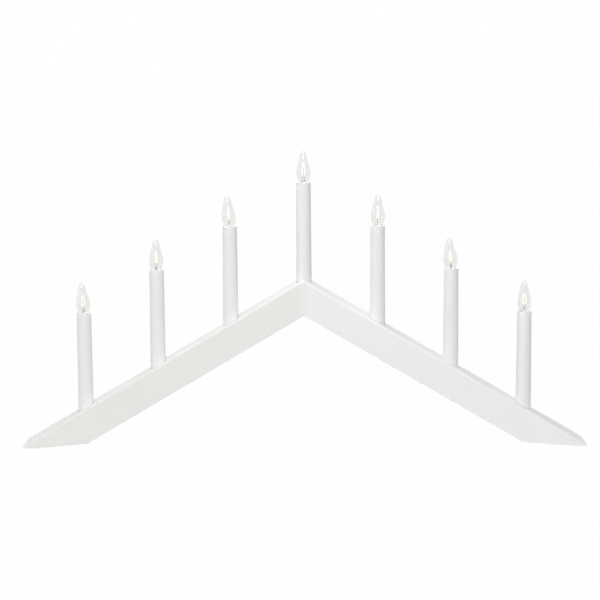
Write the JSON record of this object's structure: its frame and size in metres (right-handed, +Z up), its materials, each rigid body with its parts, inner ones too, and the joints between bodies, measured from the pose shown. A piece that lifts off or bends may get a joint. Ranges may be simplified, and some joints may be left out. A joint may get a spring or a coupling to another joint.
{
  "type": "electric advent candlestick",
  "caption": "White electric window candlestick: two mitred wooden arms form an inverted V that carries upright candle tubes with clear screw-in candle bulbs.",
  "frame": {"origin": "on the table, midway between the tips and midway from front to back", "axes": "+X to the right seen from the front, +Y to the back, +Z up"},
  "size_m": [0.667, 0.05, 0.3474],
  "materials": {
    "white_paint": "satin white paint",
    "beech": "raw, turned",
    "tube_plastic": "moulded, satin",
    "bush_plastic": "moulded",
    "holder_plastic": "moulded",
    "wire_insulation": "extruded",
    "brass": "rolled thread",
    "nickel": "nickel plated",
    "vitrite": "pressed dark glass",
    "clear_glass": "blown, clear",
    "filament": "lit hairpin on a glass stem"
  },
  "bodies": {
    "frame": {"left_arm": "white_paint", "left_groove_cover": "white_paint", "right_arm": "white_paint", "right_groove_cover": "white_paint", "front_mitre_dowel": "beech", "rear_mitre_dowel": "beech", "cord_bush": "bush_plastic", "wiring_loom": "wire_insulation", "candle_tube_1": "tube_plastic", "lamp_holder_1": "holder_plastic", "screw_shell_1": "brass", "candle_tube_2": "tube_plastic", "lamp_holder_2": "holder_plastic", "screw_shell_2": "brass", "candle_tube_3": "tube_plastic", "lamp_holder_3": "holder_plastic", "screw_shell_3": "brass", "candle_tube_4": "tube_plastic", "lamp_holder_4": "holder_plastic", "screw_shell_4": "brass", "candle_tube_5": "tube_plastic", "lamp_holder_5": "holder_plastic", "screw_shell_5": "brass", "candle_tube_6": "tube_plastic", "lamp_holder_6": "holder_plastic", "screw_shell_6": "brass", "candle_tube_7": "tube_plastic", "lamp_holder_7": "holder_plastic", "screw_shell_7": "brass"},
    "bulb_base_1": {"bulb_contact_1": "vitrite"},
    "bulb_1": {"bulb_cap_1": "nickel", "bulb_glass_1": "clear_glass", "filament_1": "filament"},
    "bulb_base_2": {"bulb_contact_2": "vitrite"},
    "bulb_2": {"bulb_cap_2": "nickel", "bulb_glass_2": "clear_glass", "filament_2": "filament"},
    "bulb_base_3": {"bulb_contact_3": "vitrite"},
    "bulb_3": {"bulb_cap_3": "nickel", "bulb_glass_3": "clear_glass", "filament_3": "filament"},
    "bulb_base_4": {"bulb_contact_4": "vitrite"},
    "bulb_4": {"bulb_cap_4": "nickel", "bulb_glass_4": "clear_glass", "filament_4": "filament"},
    "bulb_base_5": {"bulb_contact_5": "vitrite"},
    "bulb_5": {"bulb_cap_5": "nickel", "bulb_glass_5": "clear_glass", "filament_5": "filament"},
    "bulb_base_6": {"bulb_contact_6": "vitrite"},
    "bulb_6": {"bulb_cap_6": "nickel", "bulb_glass_6": "clear_glass", "filament_6": "filament"},
    "bulb_base_7": {"bulb_contact_7": "vitrite"},
    "bulb_7": {"bulb_cap_7": "nickel", "bulb_glass_7": "clear_glass", "filament_7": "filament"}
  },
  "joints": [
    {"name": "bulb_rise_1", "type": "slide", "parent": "frame", "child": "bulb_base_1", "axis": [0, 0, 1], "range_m": [0, 0.00815]},
    {"name": "bulb_turn_1", "type": "hinge", "parent": "bulb_base_1", "child": "bulb_1", "pos_m": [-0.26, 0, 0.1473], "axis": [0, 0, 1], "range_deg": [0, 1620]},
    {"name": "bulb_rise_2", "type": "slide", "parent": "frame", "child": "bulb_base_2", "axis": [0, 0, 1], "range_m": [0, 0.00815]},
    {"name": "bulb_turn_2", "type": "hinge", "parent": "bulb_base_2", "child": "bulb_2", "pos_m": [-0.17333, 0, 0.19847], "axis": [0, 0, 1], "range_deg": [0, 1620]},
    {"name": "bulb_rise_3", "type": "slide", "parent": "frame", "child": "bulb_base_3", "axis": [0, 0, 1], "range_m": [0, 0.00815]},
    {"name": "bulb_turn_3", "type": "hinge", "parent": "bulb_base_3", "child": "bulb_3", "pos_m": [-0.08667, 0, 0.24964], "axis": [0, 0, 1], "range_deg": [0, 1620]},
    {"name": "bulb_rise_4", "type": "slide", "parent": "frame", "child": "bulb_base_4", "axis": [0, 0, 1], "range_m": [0, 0.00815]},
    {"name": "bulb_turn_4", "type": "hinge", "parent": "bulb_base_4", "child": "bulb_4", "pos_m": [0, 0, 0.30082], "axis": [0, 0, 1], "range_deg": [0, 1620]},
    {"name": "bulb_rise_5", "type": "slide", "parent": "frame", "child": "bulb_base_5", "axis": [0, 0, 1], "range_m": [0, 0.00815]},
    {"name": "bulb_turn_5", "type": "hinge", "parent": "bulb_base_5", "child": "bulb_5", "pos_m": [0.08667, 0, 0.24964], "axis": [0, 0, 1], "range_deg": [0, 1620]},
    {"name": "bulb_rise_6", "type": "slide", "parent": "frame", "child": "bulb_base_6", "axis": [0, 0, 1], "range_m": [0, 0.00815]},
    {"name": "bulb_turn_6", "type": "hinge", "parent": "bulb_base_6", "child": "bulb_6", "pos_m": [0.17333, 0, 0.19847], "axis": [0, 0, 1], "range_deg": [0, 1620]},
    {"name": "bulb_rise_7", "type": "slide", "parent": "frame", "child": "bulb_base_7", "axis": [0, 0, 1], "range_m": [0, 0.00815]},
    {"name": "bulb_turn_7", "type": "hinge", "parent": "bulb_base_7", "child": "bulb_7", "pos_m": [0.26, 0, 0.1473], "axis": [0, 0, 1], "range_deg": [0, 1620]}
  ],
  "couplings": [
    {"joint": "bulb_rise_1", "follows": "bulb_turn_1", "m_per_rad": 0.00028807},
    {"joint": "bulb_rise_2", "follows": "bulb_turn_2", "m_per_rad": 0.00028807},
    {"joint": "bulb_rise_3", "follows": "bulb_turn_3", "m_per_rad": 0.00028807},
    {"joint": "bulb_rise_4", "follows": "bulb_turn_4", "m_per_rad": 0.00028807},
    {"joint": "bulb_rise_5", "follows": "bulb_turn_5", "m_per_rad": 0.00028807},
    {"joint": "bulb_rise_6", "follows": "bulb_turn_6", "m_per_rad": 0.00028807},
    {"joint": "bulb_rise_7", "follows": "bulb_turn_7", "m_per_rad": 0.00028807}
  ]
}
